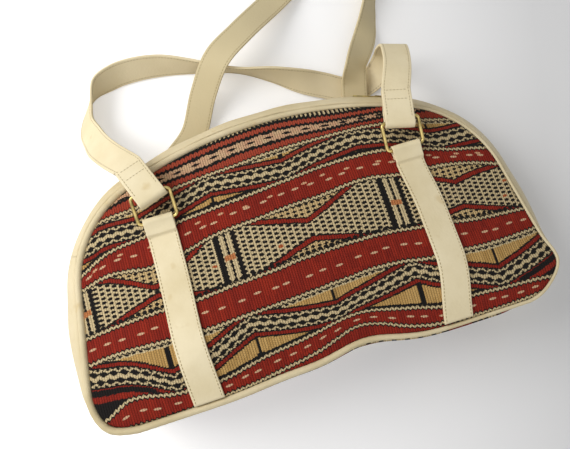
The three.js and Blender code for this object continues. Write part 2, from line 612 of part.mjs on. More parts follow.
// The two legs lean apart at the front and together at the back, by the same angle.
function handle(bar, pitch, leanOut, face, route) {
  const plane = vec(0, Math.cos(pitch), -Math.sin(pitch));
  const outside = vec(0, Math.sin(pitch), Math.cos(pitch)).multiplyScalar(face);
  const end = (sign) => {
    const onward = plane.clone().multiplyScalar(Math.cos(skew)).add(vec(sign * leanOut * Math.sin(skew), 0, 0));
    const across = onward.clone().cross(outside).normalize();
    const middle = bar.clone().setX(sign * tabX);
    return { onward, stations: pocketEnd(middle, across, onward, outside) };
  };
  const [left, right] = [end(-1), end(1)];
  const rightStations = right.stations.reverse().map(({ at, wide, thick }) => ({ at, wide: wide.clone().negate(), thick }));
  const middles = route.map(([x, y, lift, way]) => {
    const wide = vec(...way).setLength(face);
    const flat = Math.hypot(wide.x, wide.y);
    return { at: vec(x, y, lift + (Math.abs(wide.z) * strapWidth + flat * strapThickness) / 2), wide };
  });
  const points = [left.stations.at(-1), ...middles, rightStations[0]];
  const curve = new THREE.CatmullRomCurve3(points.map((p) => p.at), false, 'centripetal');
  const ways = new THREE.CatmullRomCurve3(points.map((p) => p.wide), false, 'catmullrom');
  const perPoint = 3;
  const steps = (points.length - 1) * perPoint;
  const free = spaced(0, 1, steps).slice(1, -1).map((t) => {
    const onward = curve.getTangent(t);
    const wide = ways.getPoint(t);
    wide.addScaledVector(onward, -wide.dot(onward)).normalize();
    const thick = wide.clone().cross(onward).normalize();
    const at = curve.getPoint(t);
    const lowest = at.z - (Math.abs(wide.z) * strapWidth + Math.abs(thick.z) * strapThickness) / 2;
    return { at: at.setZ(at.z + Math.max(0, seamGap - lowest)), wide, thick };
  });
  return band([...left.stations, ...free, ...rightStations], strapThickness);
}

addMesh('front_handle', handle(farBar.front, degToRad(frontStrapPitch), 1, 1, frontRoute), creamLeather);
addMesh('back_handle', handle(farBar.back, 0, -1, -1, backRoute), creamLeather);

// The origin is the middle of the underside of the box around it all.
const bounds = new THREE.Box3().setFromObject(bag);
const origin = bounds.getCenter(vec(0, 0, 0)).setZ(bounds.min.z);
bag.children.forEach((mesh) => mesh.position.sub(origin));

export default bag;
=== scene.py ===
"""A dome-shaped handbag of flat-woven kilim and cream leather, lying on its back on a pale table."""
import itertools
import math

import bpy
import numpy as np
from mathutils import Matrix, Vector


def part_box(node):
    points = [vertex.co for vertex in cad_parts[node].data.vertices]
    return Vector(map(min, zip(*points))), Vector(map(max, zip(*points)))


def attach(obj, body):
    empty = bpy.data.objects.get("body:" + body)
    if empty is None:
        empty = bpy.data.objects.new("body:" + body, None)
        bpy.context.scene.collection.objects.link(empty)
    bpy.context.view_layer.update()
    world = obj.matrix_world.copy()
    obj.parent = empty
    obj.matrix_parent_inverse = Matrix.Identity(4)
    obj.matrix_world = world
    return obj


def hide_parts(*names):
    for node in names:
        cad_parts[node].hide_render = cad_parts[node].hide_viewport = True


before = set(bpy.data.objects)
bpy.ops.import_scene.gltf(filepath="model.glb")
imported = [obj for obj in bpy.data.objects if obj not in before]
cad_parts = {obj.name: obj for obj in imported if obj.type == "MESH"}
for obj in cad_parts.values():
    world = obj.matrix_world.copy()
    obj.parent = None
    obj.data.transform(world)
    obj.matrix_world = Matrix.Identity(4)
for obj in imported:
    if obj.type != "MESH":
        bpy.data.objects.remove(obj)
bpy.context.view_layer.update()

# The bag is worked out in millimetres, with the middle of its base line at x = 0, y = 0 on the
# table at z = 0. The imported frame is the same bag, moved by this offset.
PIPING_RADIUS = 3.0
OFFSET = np.array([
    0.0,
    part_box("front_piping")[0][1] * 1000 + PIPING_RADIUS,
    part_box("back_piping")[0][2] * 1000,
])


def placed(points):
    """Bag millimetres to frame metres."""
    return (np.asarray(points, float) + OFFSET) / 1000


def smooth(value, low, high):
    """The cubic step 3t^2 - 2t^3, where t runs from 0 at low to 1 at high."""
    t = np.clip((value - low) / (high - low), 0, 1)
    return t * t * (3 - 2 * t)


def circle(count):
    """Angles at equal steps round a full turn, from 0."""
    return np.linspace(0, 2 * np.pi, count, endpoint=False)


def run_along(line):
    """Length along a line, up to each of its points."""
    return np.r_[0, np.cumsum(np.linalg.norm(np.diff(line, axis=0), axis=1))]


def unit(vectors):
    """Each vector over its own length."""
    return vectors / np.linalg.norm(vectors, axis=-1, keepdims=True)


# ---- Meshes ----

def add_piece(name, points, faces, material, body, uv=None, slot=None, replaces=()):
    """A smooth mesh from points in bag millimetres. uv holds one pair of metres for each point."""
    mesh = bpy.data.meshes.new(name)
    mesh.from_pydata(placed(points).tolist(), [], [list(map(int, face)) for face in faces])
    mesh.update()
    if uv is not None:
        corners = np.zeros(len(mesh.loops), np.int32)
        mesh.loops.foreach_get("vertex_index", corners)
        layer = mesh.uv_layers.new(name="UVMap")
        layer.data.foreach_set("uv", np.asarray(uv, np.float32)[corners].ravel())
    mesh.polygons.foreach_set("use_smooth", np.ones(len(mesh.polygons), bool))
    mesh.materials.append(material)
    piece = bpy.data.objects.new(name, mesh)
    bpy.context.scene.collection.objects.link(piece)
    if signed_volume(mesh) < 0:
        mesh.flip_normals()
    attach(piece, body)
    if replaces:
        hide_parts(*replaces)
    return piece


def signed_volume(mesh):
    """Sum over the triangles of a . (b x c) / 6, which is positive where the faces point out."""
    mesh.calc_loop_triangles()
    co = np.zeros(len(mesh.vertices) * 3)
    mesh.vertices.foreach_get("co", co)
    tri = np.zeros(len(mesh.loop_triangles) * 3, np.int32)
    mesh.loop_triangles.foreach_get("vertices", tri)
    a, b, c = np.moveaxis(co.reshape(-1, 3)[tri.reshape(-1, 3)], 1, 0)
    return float((a * np.cross(b, c)).sum() / 6)


def grid_faces(rows, columns, round_rows=False):
    """Quads between neighbouring rows and columns of a grid, whose columns close on themselves."""
    i = np.arange(rows if round_rows else rows - 1)[:, None]
    j = np.arange(columns)[None, :]
    at = lambda r, c: (r % rows) * columns + c % columns
    quads = np.stack([at(i, j), at(i, j + 1), at(i + 1, j + 1), at(i + 1, j)], -1)
    return quads.reshape(-1, 4)


def swept(name, sections, material, body, closed=False, uv=None, **more):
    """A solid from rows of closed sections. Its ends are closed by flat caps."""
    rows, columns = sections.shape[:2]
    faces = grid_faces(rows, columns, round_rows=closed).tolist()
    if not closed:
        faces.append(list(range(columns))[::-1])
        faces.append(list(range((rows - 1) * columns, rows * columns)))
    flat_uv = None if uv is None else uv.reshape(-1, 2)
    return add_piece(name, sections.reshape(-1, 3), faces, material, body, flat_uv, **more)


def turned(shape, spots, *axes):
    """The points of shape at each spot, with their x, y and z along that spot's three axes."""
    return spots[:, None] + sum(shape[None, :, k:k + 1] * axis[:, None] for k, axis in enumerate(axes))


# ---- Node helper ----

class Wire:
    """A number that flows through a material's nodes, with ordinary sums written as nodes."""

    def __init__(self, tree, socket):
        self.tree, self.socket = tree, socket

    def math(self, operation, *others, clamp=False):
        node = self.tree.nodes.new("ShaderNodeMath")
        node.operation = operation
        node.use_clamp = clamp
        for place, value in zip(node.inputs, (self, *others)):
            if isinstance(value, Wire):
                self.tree.links.new(value.socket, place)
            else:
                place.default_value = value
        return Wire(self.tree, node.outputs[0])

    def __add__(self, other): return self.math("ADD", other)
    def __sub__(self, other): return self.math("SUBTRACT", other)
    def __mul__(self, other): return self.math("MULTIPLY", other)
    def __truediv__(self, other): return self.math("DIVIDE", other)
    def __rsub__(self, other): return (self * -1.0) + other
    def low(self, other): return self.math("MINIMUM", other)
    def high(self, other): return self.math("MAXIMUM", other)
    def size(self): return self.math("ABSOLUTE")
    def whole(self): return self.math("FLOOR")
    def part(self): return self.math("FRACT")
    def wave(self): return self.math("SINE")
    def power(self, other): return self.math("POWER", other)

    def held(self): return self.math("ADD", 0.0, clamp=True)

    def inside(self, soft=0.3):
        """1 where this signed distance in millimetres is below 0, over a soft edge."""
        return (self * (-1 / soft)).math("ADD", 0.5, clamp=True)

    def saw(self, pitch, start=0.0):
        """Distance from the nearest of the points start + k * pitch."""
        return (((self - start) / pitch + 0.5).part() - 0.5).size() * pitch


def linear(r, g, b):
    """An sRGB colour from 0 to 255 as linear light."""
    shares = [((c / 255 + 0.055) / 1.055) ** 2.4 if c > 10 else c / 255 / 12.92 for c in (r, g, b)]
    return (*shares, 1.0)


class Finish:
    """A material with its tree, its principled shader and short ways to add nodes."""

    def __init__(self, name, roughness, metallic=0.0, specular=0.3):
        self.material = bpy.data.materials.new(name)
        self.material.use_nodes = True
        self.tree = self.material.node_tree
        self.shader = self.tree.nodes["Principled BSDF"]
        self.shader.inputs["Roughness"].default_value = roughness
        self.shader.inputs["Metallic"].default_value = metallic
        self.shader.inputs["Specular IOR Level"].default_value = specular

    def node(self, kind, **inputs):
        node = self.tree.nodes.new(kind)
        for key, value in inputs.items():
            self.fill(node.inputs[key], value)
        return node

    def fill(self, place, value):
        """Links a wire to an input, or sets the input to a plain value."""
        if isinstance(value, Wire):
            self.tree.links.new(value.socket, place)
        else:
            place.default_value = value

    def out(self, node, name=0):
        return Wire(self.tree, node.outputs[name])

    def split(self, vector):
        node = self.tree.nodes.new("ShaderNodeSeparateXYZ")
        self.tree.links.new(vector.socket, node.inputs[0])
        return [Wire(self.tree, socket) for socket in node.outputs]

    def join(self, x, y, z=0.0):
        return self.out(self.node("ShaderNodeCombineXYZ", X=x, Y=y, Z=z))

    def place(self, uv=False):
        return self.out(self.node("ShaderNodeTexCoord"), "UV" if uv else "Object")

    def noise(self, at, scale, detail=3.0, rough=0.55):
        node = self.node("ShaderNodeTexNoise", Vector=at, Scale=scale, Detail=detail, Roughness=rough)
        return self.out(node)

    def white(self, x, y):
        node = self.tree.nodes.new("ShaderNodeTexWhiteNoise")
        node.noise_dimensions = "2D"
        self.tree.links.new(self.join(x, y).socket, node.inputs["Vector"])
        return self.out(node, "Value")

    def cells(self, at, scale):
        return self.out(self.node("ShaderNodeTexVoronoi", Vector=at, Scale=scale), "Distance")

    def curve(self, x, points, low, high, floor, ceiling):
        """A smooth line through points (x, y), read at x."""
        node = self.tree.nodes.new("ShaderNodeFloatCurve")
        line = node.mapping.curves[0]
        scaled = [((px - low) / (high - low), (py - floor) / (ceiling - floor)) for px, py in points]
        while len(line.points) < len(scaled):
            line.points.new(0.5, 0.5)
        for point, (px, py) in zip(line.points, scaled):
            point.location = (px, py)
        node.mapping.update()
        self.tree.links.new(((x - low) / (high - low)).socket, node.inputs["Value"])
        return self.out(node) * (ceiling - floor) + floor

    def mix(self, share, first, second):
        node = self.tree.nodes.new("ShaderNodeMix")
        node.data_type = "RGBA"
        node.clamp_factor = True
        for key, value in (("Factor_Float", share), ("A_Color", first), ("B_Color", second)):
            self.fill(next(s for s in node.inputs if s.identifier == key), value)
        return Wire(self.tree, next(s for s in node.outputs if s.identifier == "Result_Color"))

    def colour(self, wire):
        self.tree.links.new(wire.socket, self.shader.inputs["Base Color"])

    def bump(self, height, distance, strength=1.0):
        node = self.node("ShaderNodeBump", Strength=strength, Distance=distance, Height=height)
        self.tree.links.new(node.outputs[0], self.shader.inputs["Normal"])

    def roughness(self, wire):
        self.tree.links.new(wire.socket, self.shader.inputs["Roughness"])


# ---- Kilim ----

RED = linear(142, 42, 35)
BLACK = linear(32, 29, 27)
CREAM = linear(220, 198, 154)
OCHRE = linear(206, 166, 102)
RUST = linear(178, 92, 52)
# Where the lines between the bands run: pairs of x and y over the panel, in millimetres
BAND_LINES = [
    [(-206, 6), (-186, 4), (-130, 2), (-96, 4), (-60, 5), (-30, 8), (0, 12), (20, 15), (40, 13),
     (60, 9), (90, 5), (125, 3), (160, 3), (206, 6)],
    [(-206, 17), (-186, 19), (-168, 24), (-131, 18), (-96, 17), (-66, 21), (-31, 24.5), (0, 27.5),
     (25, 28), (50, 26), (75, 23), (92, 19), (122, 20), (150, 18), (175, 16), (206, 11)],
    [(-206, 58), (-168, 61), (-131, 60), (-96, 59), (-66, 60), (-31, 61), (0, 62.5), (25, 63.5),
     (50, 65), (75, 63.5), (95, 60), (125, 58), (150, 56), (206, 57)],
    [(-206, 78), (-168, 82), (-131, 84), (-96, 84), (-66, 86.5), (-31, 88.5), (0, 91), (50, 91.5),
     (75, 90), (95, 87), (125, 83), (150, 79), (180, 76.5), (206, 75)],
    [(-206, 112), (-181, 120), (-163, 124), (-148, 123), (-126, 120), (-96, 124), (-71, 130),
     (-31, 133), (0, 135.5), (25, 136.5), (65, 139.5), (95, 135), (125, 133), (140, 131.5), (160, 128),
     (179, 122.5), (206, 114)],
    [(-206, 124), (-183, 131.5), (-168, 139), (-156, 143), (-131, 146), (-96, 150), (-66, 152.5),
     (-31, 155), (0, 158), (50, 161.5), (95, 159), (125, 151.5), (150, 144), (172, 139.5), (206, 130)],
    [(-206, 158), (-171, 165), (-161, 170), (-129, 173), (-98, 179), (-66, 182), (-31, 184),
     (0, 186.5), (50, 186.5), (95, 184.5), (125, 180), (150, 174), (206, 160)],
    [(-206, 170), (-161, 178), (-131, 184), (-96, 187.5), (-60, 190), (-31, 194), (0, 195), (25, 195),
     (50, 193), (90, 191), (125, 188), (206, 176)],
    [(-206, 186), (-131, 196), (-96, 197), (-60, 202), (-31, 205), (0, 206.5), (25, 205), (50, 201),
     (90, 197), (206, 190)],
    [(-206, 196), (-131, 203), (-96, 204), (-60, 209), (-31, 212), (0, 213.5), (25, 212), (50, 208),
     (90, 203), (206, 198)],
]


def kilim():
    """Woven bands laid one over another by signed distances in millimetres. Most are read at the middle
    of a warp rib, so that a slanting edge climbs in the weave's own small steps."""
    f = Finish("kilim_weave", 0.93, specular=0.12)
    u, v, _ = f.split(f.place(uv=True))
    x, y = u * 1000.0, v * 1000.0
    rib = 2.1
    ribs = (x / rib).whole()
    xs = (ribs + 0.5) * rib
    halves = ((x / (rib / 2)).whole() + 0.5) * (rib / 2)
    jitter = (f.white(ribs, (y / 2.0).whole()) - 0.5) * 0.7
    ys = y + jitter
    diamond = 8.4  # pitch of the lattice's black diamonds
    cell_x, cell_y = 5.6, 3.7  # pitch of the dots in the wide band
    line = [f.curve(xs, points, -206, 206, -10, 240) for points in BAND_LINES]
    tone = f.mix(f.noise(f.join(x, y), 0.03, 2.0), RED, linear(168, 52, 30))
    streak = f.white(ribs, (y / 14.0).whole())
    red = f.mix(streak * 0.5, tone, linear(108, 32, 26))
    red = f.mix(((y - 155.0) / 45.0).held(), red, linear(172, 76, 54))
    ochre = f.mix(streak * 0.7, OCHRE, linear(176, 136, 76))
    cream = f.mix(f.noise(f.join(x, y), 0.2, 2.0) * 0.6, CREAM, linear(196, 172, 124))
    made = red

    def over(colour, share, *others):
        """Lays the colour over what is made, where all the shares are 1."""
        nonlocal made
        for other in others:
            share = share * other
        made = f.mix(share, made, colour)

    def between(a, b):
        """1 between two lines, a below b."""
        return (a - ys).high(ys - b).inside()

    def oval(across, up, soft):
        """1 inside the ellipse across^2 + up^2 = 1."""
        return (across.power(2.0) + up.power(2.0) - 1.0).inside(soft)

    def dashes(pitch, line_y, seed, half=3.1, thin=0.95):
        """Scattered dashes along a line, one in each pitch, with a random shift and lift."""
        cell = (x / pitch).whole()
        shift = (f.white(cell, x * 0.0 + seed) - 0.5) * (pitch * 0.45)
        lift = (f.white(cell, x * 0.0 + seed + 7.0) - 0.5) * 2.4
        across = ((x / pitch).part() - 0.5) * pitch - shift
        return oval(across / half, (y - line_y - lift) / thin, 0.6)

    for low, high, seed in ((0, 1, 1.0), (2, 3, 2.0), (4, 5, 3.0)):
        over(f.mix(0.5, CREAM, linear(222, 160, 130)), dashes(14.2, (line[low] + line[high]) / 2.0, seed))
    over(linear(222, 170, 130), dashes(23.0, line[4] * 0.35 + line[5] * 0.65, 4.0, 2.6))

    # Two motif bands: a lattice of diamonds that runs up and down, with red stripes along it
    for low, high, peak, period in ((1, 2, -60.0, 140.0), (5, 6, -62.0, 133.0)):
        bottom, top = line[low], line[high]
        off_peak = xs.saw(period, peak)
        share = off_peak / (period / 2)
        middle = (top - 8.2) * (1.0 - share) + (bottom + 8.6) * share
        d = ys - middle
        reach = d.size()
        band = between(bottom, top)
        over(ochre, band)
        foot = ((bottom + 6.5 - ys) * 0.45).high(0.0)
        over(BLACK, band, (off_peak - 1.5 - foot).inside(), (d + 11.0).inside())
        over(BLACK, band, (period / 2 - off_peak - 1.5).inside(), (11.0 - d).inside())
        # A cream row of dashes under the upper line, black knots over the lower one
        row = ys - (top - 2.7)
        over(cream, band, (row.size() - 1.5).inside())
        over(BLACK, band, oval(x.saw(5.8) / 1.7, row / 0.8, 0.5))
        knots = ys - (bottom + 2.6)
        over(BLACK, band, (knots.size() - 1.0 - (x / 2.9).part() * 0.5).inside())
        for colour, half in ((BLACK, 12.2), (f.mix(0.25, red, linear(120, 30, 24)), 10.7), (BLACK, 7.9)):
            over(colour, band, (reach - half).inside())
        over(cream, band, (reach - 6.3 - (x.saw(4.2) - 1.0) * 0.5).inside())
        for start, lift in ((0.0, 3.0), (diamond / 2, -3.0)):
            tall = (ys - middle - lift).size() / 2.6
            over(BLACK, band, (halves.saw(diamond, start) / 4.9 + tall - 1.0).inside(0.2))
        for start, lift in ((0.0, -5.9), (diamond / 2, 5.9)):
            speck = (x.saw(diamond, start) / 1.8).size() + (ys - middle - lift).size() / 1.2
            over(BLACK, band, (speck - 1.0).inside(0.4))
        if low == 1:
            patch = (xs + 146.0).inside(2.0).high((163.0 - xs).inside(2.0))
            over(BLACK, band, patch, (d + 8.6).inside())
            over(red, band, patch, ((d + 15.5).size() - 2.3).inside())

    # Wide band: a field of black dashes, pinched at its waists, with upright serrated columns
    bottom, top = line[3], line[4]
    band = between(bottom, top)
    waist = xs.saw(134.0, 8.0)
    upper = top - 16.5 + waist * 0.34
    lower = bottom + 12.5 - waist * 0.25
    column = (x / cell_x).whole()
    row = ys / cell_y + (column * 0.5).part()
    across = ((x / cell_x).part() - 0.5) * cell_x
    up = (row.part() - 0.5) * cell_y
    dot = ((across / 2.1).size().power(3.0) + (up / 1.15).size().power(3.0) - 1.0).inside(0.6)
    rare = (f.white(column, row.whole()) - 0.965).math("GREATER_THAN", 0.0)
    field = f.mix(dot, cream, f.mix(rare, BLACK, RUST))
    over(field, band)
    teeth = (ys.saw(cell_y) - 0.9) * 1.3
    for place in (-188.0, -61.5, 85.0):
        out = (x - place).size()
        for colour, half, rough in ((BLACK, 9.6, 1.0), (cream, 5.0, -0.5), (BLACK, 1.0, 0.4)):
            over(colour, band, (out - half - teeth * rough).inside())
        knot = (ys - (bottom + top) / 2.0).size() - 2.2
        over(linear(196, 124, 76), band, knot.inside(), (out - 4.6).inside())
    small = (x.saw(5.6) / 2.8 + ys.saw(3.6) / 1.8 - 0.8).inside(0.15)
    lens = f.mix(small, f.mix(0.5, cream, OCHRE), BLACK)
    for away in (ys - upper, lower - ys):
        for colour, inset in ((BLACK, -2.9), (red, -1.6), (BLACK, 1.7), (lens, 2.9)):
            over(colour, band, (inset - away).inside())
    knots = ys - (bottom + 3.2)
    over(BLACK, band, oval(x.saw(5.2) / 2.1, knots / 1.4, 0.6))

    # Narrow stripes under the zip
    pale = between(line[7], line[8])
    middle = (line[7] + line[8]) / 2.0
    over(f.mix(f.noise(f.join(x, y), 0.12, 1.0), cream, linear(205, 140, 112)), pale)
    long_cell = (xs.saw(17.0) / 8.5) + ((ys - middle).saw(4.6) / 2.3)
    over(BLACK, pale, (long_cell - 0.62).inside(0.12))
    checks = f.mix((x / 4.0).part().math("GREATER_THAN", 0.5), BLACK, cream)
    over(checks, (line[9] - ys).inside())

    # Wavy cream lines with black edges, over the joins of the bands
    ripple = (x.saw(4.2) - 1.05) * 0.75
    tooth = (ribs * 0.5).part() * 0.9
    for number, at in enumerate(line):
        d = (ys - at - ripple).size()
        wide = 1.95 if number < 7 else 1.2
        over(BLACK, (d - tooth - wide).inside())
        if number < 7:
            over(cream, (d - 0.95).inside())

    # Ribs: painted shade in the grooves between them and on the small beat of the weft along each, mixed
    # with random tone from dirt and fibre
    rise = ((x * (math.pi / rib)).wave().size()).power(0.6)
    beat = (y * (2 * math.pi / 1.9) + ribs * math.pi).wave() * 0.5 + 0.5
    dirt = f.noise(f.join(x, y), 0.05, 3.0)
    fibre = f.noise(f.join(x * 1.6, y), 1.1, 2.0)
    # Painted shade: the colour is darkened in the rib grooves and weft beats; the dirt and fibre noise add
    # random tone
    shade = rise * 0.36 + 0.22 + beat * 0.2 + dirt * 0.12 + fibre * 0.34
    node = f.tree.nodes.new("ShaderNodeVectorMath")
    node.operation = "SCALE"
    f.tree.links.new(made.socket, node.inputs[0])
    f.tree.links.new(shade.socket, node.inputs["Scale"])
    f.colour(Wire(f.tree, node.outputs[0]))
    f.bump(rise + beat * 0.3 + f.noise(f.join(x, y), 1.6) * 0.3, 0.0006, 0.8)
    return f.material


def leather(name, light, shade, back=None, grain=420.0):
    """Cream hide: mottled colour, fine pebbled grain and soft creases. back is its inner face."""
    f = Finish(name, 0.55, specular=0.35)
    at = f.place()
    mottle = f.noise(at, 18.0, 5.0, 0.6)
    made = f.mix(((mottle - 0.35) * 2.2).held(), light, shade)
    spots = (f.noise(at, 60.0, 2.0) - 0.66).math("MULTIPLY", 9.0, clamp=True)
    made = f.mix(spots * 0.35, made, linear(196, 164, 96))
    if back is not None:
        _, side, _ = f.split(f.place(uv=True))
        made = f.mix(side.math("GREATER_THAN", 0.5), made, f.mix(mottle, back, linear(214, 197, 155)))
    f.colour(made)
    pebbles = f.cells(at, grain) * 0.5 + f.noise(at, 130.0, 4.0) * 0.9
    f.bump(pebbles, 0.00035, 0.55)
    f.roughness(mottle * 0.22 + 0.46)
    return f.material


def aged_brass():
    """Brass wire: bright where it rubs, with an olive bloom and small dark pits elsewhere."""
    f = Finish("aged_brass", 0.35, metallic=1.0, specular=0.5)
    at = f.place()
    bloom = ((f.noise(at, 160.0, 4.0) - 0.42) * 4.0).held()
    f.colour(f.mix(bloom, linear(196, 174, 112), linear(122, 110, 66)))
    f.roughness(bloom * 0.25 + 0.28)
    f.bump(f.noise(at, 700.0, 2.0), 0.00008, 0.5)
    return f.material


def zip_cloth():
    """Herringbone tape: slanting ridges that turn over every 1.5 mm across it."""
    f = Finish("zip_cloth", 0.85, specular=0.15)
    u, v, _ = f.split(f.place(uv=True))
    ridge = ((u * 1000.0 + (v * 1000.0).saw(3.0)) * (2 * math.pi / 1.1)).wave() * 0.5 + 0.5
    f.colour(f.mix(ridge * 0.5, linear(205, 190, 150), linear(168, 150, 108)))
    f.bump(ridge, 0.0002)
    return f.material


def thread():
    """Waxed sewing thread, a shade darker than the leather."""
    f = Finish("waxed_thread", 0.6, specular=0.3)
    f.colour(f.mix(f.noise(f.place(), 300.0), linear(186, 166, 118), linear(140, 120, 78)))
    return f.material


KILIM = kilim()
HIDE = leather("cream_hide", linear(222, 206, 168), linear(204, 186, 142))
WORN = leather("worn_strap_hide", linear(214, 198, 158), linear(194, 176, 132), back=linear(206, 190, 150))
STRAP = leather("strap_hide", linear(238, 223, 186), linear(218, 200, 156), back=linear(240, 225, 190))
EDGE = leather("piping_hide", linear(220, 204, 166), linear(194, 176, 132), grain=520.0)
BRASS = aged_brass()
TAPE = zip_cloth()
THREAD = thread()

# ---- The outline and the two seams ----

HALF, HEIGHT = 207.0, 219.0
TOP_R, SHOULDER_R, CORNER_R = 358.0, 94.0, 36.0
LEAN = math.radians(8)
SIDE = math.pi / 2 - LEAN
TOP_Y = HEIGHT - TOP_R
CORNER = np.array([HALF - math.tan(LEAN) * CORNER_R - CORNER_R / math.cos(LEAN), CORNER_R])
_foot = HALF - SHOULDER_R / math.cos(LEAN)
_slope = math.tan(LEAN)
# The shoulder's centre lies on a line beside the leaning side and TOP_R - SHOULDER_R from the top's centre
_roots = np.roots([
    1 + _slope ** 2,
    -2 * (_foot * _slope + TOP_Y),
    _foot ** 2 + TOP_Y ** 2 - (TOP_R - SHOULDER_R) ** 2,
])
SHOULDER = np.array([_foot - _slope * max(_roots), max(_roots)])
TOP_ANGLE = math.atan2(SHOULDER[0], SHOULDER[1] - TOP_Y)
SEAM_Y, ZIP_ANGLE = 145.0, math.radians(19.5)
SIDE_SWELL, TOP_SWELL = 0.28, 14.0  # of the gusset: a share of its depth, and millimetres


def outline():
    """Rows of x, y, out x, out y, fullness and zip angle, from the base's middle round to +X and on.
    Each arc is centre + radius * (sin a, cos a), and the straight parts are shares between ends."""
    def arc(centre, radius, start, end, count, full):
        t = np.linspace(0, 1, count, endpoint=False)
        a = start + (end - start) * t
        out = np.stack([np.sin(a), np.cos(a)], 1)
        return np.column_stack([centre + radius * out, out, full(t), a])
    t = np.linspace(0, 1, 75, endpoint=False)
    base = np.column_stack([t * CORNER[0], 0 * t, 0 * t, 0 * t - 1, 0 * t, 0 * t + 9])
    low = arc(CORNER, CORNER_R, math.pi, SIDE, 34, lambda s: smooth(s, 0, 1))
    high = arc(SHOULDER, SHOULDER_R, SIDE, TOP_ANGLE, 60, lambda s: 1 + smooth(s, 0, 1))
    top = arc(np.array([0.0, TOP_Y]), TOP_R, TOP_ANGLE, 0, 66, lambda s: 2 + 0 * s)
    t = np.linspace(0, 1, 24, endpoint=False)[:, None]
    start = np.r_[CORNER + CORNER_R * np.array([math.sin(SIDE), math.cos(SIDE)]), high[0, 2:4], 1, 9]
    side = start * (1 - t) + np.r_[high[0, :2], high[0, 2:4], 1, 9] * t
    crown = np.array([[0, HEIGHT, 0, 1, 2, 0.0]])
    right = np.vstack([base, low, side, high, top, crown])
    left = right[1:-1][::-1] * np.array([-1, 1, -1, 1, 1, -1])
    return np.vstack([right, left])


O = outline()
MIDDLE_SLOPE = 32 / HEIGHT / 2


def bottom_wave(x, y):
    """How far the slack base edge has slid towards the zip: bell curves that fade up the panel."""
    humps = ((11.0, 24, 36), (3.5, -42, 34), (-6.0, -198, 14))
    slid = sum(size * np.exp(-((x - at) / reach) ** 2) for size, at, reach in humps)
    return slid * np.exp(-(np.maximum(y, 0) / 42) ** 2)


def front_rim(y):
    """Height of the front seam, which falls towards the zip."""
    return 86 - 32 * y / HEIGHT


def back_rim(y):
    """Height of the back seam, which lifts off the table near the zip."""
    return PIPING_RADIUS + 7 * smooth(y, 90, 125)


def setback(y):
    """How far the back seam stands behind the front one, so that the gusset meets both squarely."""
    return MIDDLE_SLOPE * (front_rim(y) - back_rim(y))


def corner_pull(x, y):
    """How far the panel's lower right corner is drawn out sideways."""
    return 5.5 * np.exp(-((y - 24) / 15) ** 2) * smooth(x, 150, 205)


def tuck(x):
    """0 at the left, where the piping stands proud, to 1 at the right, where the panel covers it."""
    return smooth(x, -40, 150)


def front_edge(s):
    """The front seam through outline rows s."""
    x, y = s[..., 0], s[..., 1]
    return np.stack([x + corner_pull(x, y), y + bottom_wave(x, y), front_rim(y)], -1)


def back_edge(s):
    """The back seam through outline rows s."""
    x, y = s[..., 0], s[..., 1]
    return np.stack([x, y - setback(y), back_rim(y)], -1)


def gusset(s, share):
    """Front seam to back seam in a straight line, plus out * bulge * 4 * share * (1 - share)."""
    s, share = s[:, None, :], share[..., None]
    front, back = front_edge(s), back_edge(s)
    depth = np.linalg.norm(front - back, axis=-1, keepdims=True)
    full = s[..., 4:5]
    side = SIDE_SWELL * depth
    swell = np.where(full < 1, side * full, side * (2 - full) + TOP_SWELL * (full - 1))
    swell = swell * (0.4 + 0.6 * smooth(s[..., 1:2], 0, 95))
    out = np.concatenate([s[..., 2:4], 0 * s[..., :1]], -1)
    return front * (1 - share) + back * share + out * swell * 4 * share * (1 - share)


def wall(name, stations, first, last, outer, inner, material, steps=16, **more):
    """A curved wall between two shares of the gusset's depth, offset along its own normal.
    Walls of leather also ripple by 0.35 * sin(0.11 x + 1.3 sin(0.13 z))."""
    share = first[:, None] + (last - first)[:, None] * np.linspace(0, 1, steps)
    middle = gusset(stations, share)
    normal = unit(np.cross(np.gradient(middle, axis=0), np.gradient(middle, axis=1)))
    facing = np.sign((normal[..., :2] * stations[:, None, 2:4]).sum(-1, keepdims=True))
    normal = normal * facing
    x, z = middle[..., :1], middle[..., 2:3]
    ripple = 0.35 * np.sin(x * 0.11 + 1.3 * np.sin(z * 0.13)) if steps > 8 else 0
    under = (middle + normal * (inner + ripple))[:, ::-1]
    sections = np.concatenate([middle + normal * (outer + ripple), under], 1)
    uv = np.stack(np.broadcast_arrays(run_along(middle[:, 0])[:, None], sections[..., 2]), -1) / 1000
    return swept(name, sections, material, "bag", uv=uv, **more)


DEPTH = np.linalg.norm(front_edge(O) - back_edge(O), axis=1)
FRONT_RADIUS = PIPING_RADIUS - 1.3 * tuck(O[:, 0])
FRONT_SEAM = (FRONT_RADIUS + 0.3) / DEPTH
SEAM = (PIPING_RADIUS + 0.3) / DEPTH


def piping(name, edge, node, size):
    """A cord under leather along a seam: a circle whose radius has a small gathered ripple."""
    path = edge(O)
    ahead = unit(np.roll(path, -1, 0) - np.roll(path, 1, 0))
    out = unit(np.column_stack([O[:, 2:4], 0 * O[:, 0]]))
    up = unit(np.cross(ahead, out))
    out = np.cross(up, ahead)
    length = run_along(path)
    round_ = circle(20)
    radius = (size * (0.97 + 0.03 * np.sin(length * 0.9) * (O[:, 4] < 1.9)))[:, None, None]
    ring = np.cos(round_)[None, :, None] * out[:, None] + np.sin(round_)[None, :, None] * up[:, None]
    sections = path[:, None] + ring * radius
    return swept(name, sections, EDGE, "bag", closed=True, slot="piping", replaces=[node])


